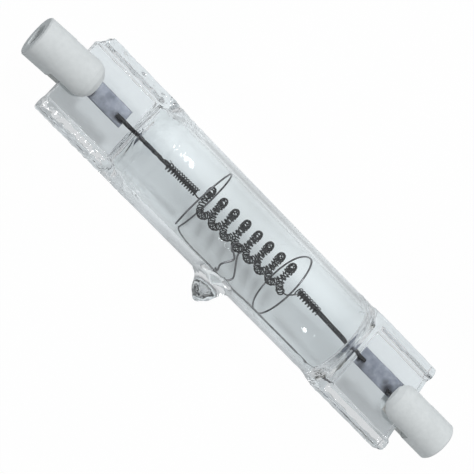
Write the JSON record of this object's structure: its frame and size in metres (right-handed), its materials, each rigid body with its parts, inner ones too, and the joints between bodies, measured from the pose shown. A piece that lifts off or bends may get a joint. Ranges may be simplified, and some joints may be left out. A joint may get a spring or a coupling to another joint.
{
  "type": "double-ended halogen bulb",
  "caption": "Short double-ended quartz halogen bulb with flat pinched ends, sealed foils, a coiled filament on a wire frame and slotted ceramic bases with recessed contacts.",
  "frame": {"origin": "middle of the quartz tube's axis, halfway between the two ceramic bases", "axes": "+X along the bulb, +Y across the flat pinches and away from the exhaust tip, +Z through the thickness of the pinches, towards the side from which the foil welds show"},
  "size_m": [0.0784, 0.0165, 0.013],
  "materials": {
    "quartz": "clear fused quartz, faintly rippled where it was pressed",
    "tungsten": "dark drawn wire",
    "molybdenum": "dull drawn rod",
    "molybdenum_foil": "thin rolled foil, blue grey",
    "steatite": "unglazed, matte",
    "nickel": "turned, satin",
    "cement": "dry, slightly rough"
  },
  "bodies": {
    "root": {"quartz_envelope": "quartz", "filament": "tungsten", "support_frame": "tungsten", "filament_hook": "tungsten", "inner_lead_left": "molybdenum", "inner_lead_right": "molybdenum", "foil_left": "molybdenum_foil", "foil_right": "molybdenum_foil", "outer_lead_left": "molybdenum", "outer_lead_right": "molybdenum", "ceramic_base_left": "steatite", "ceramic_base_right": "steatite", "contact_left": "nickel", "contact_right": "nickel", "cement_left": "cement", "cement_right": "cement"}
  },
  "joints": []
}
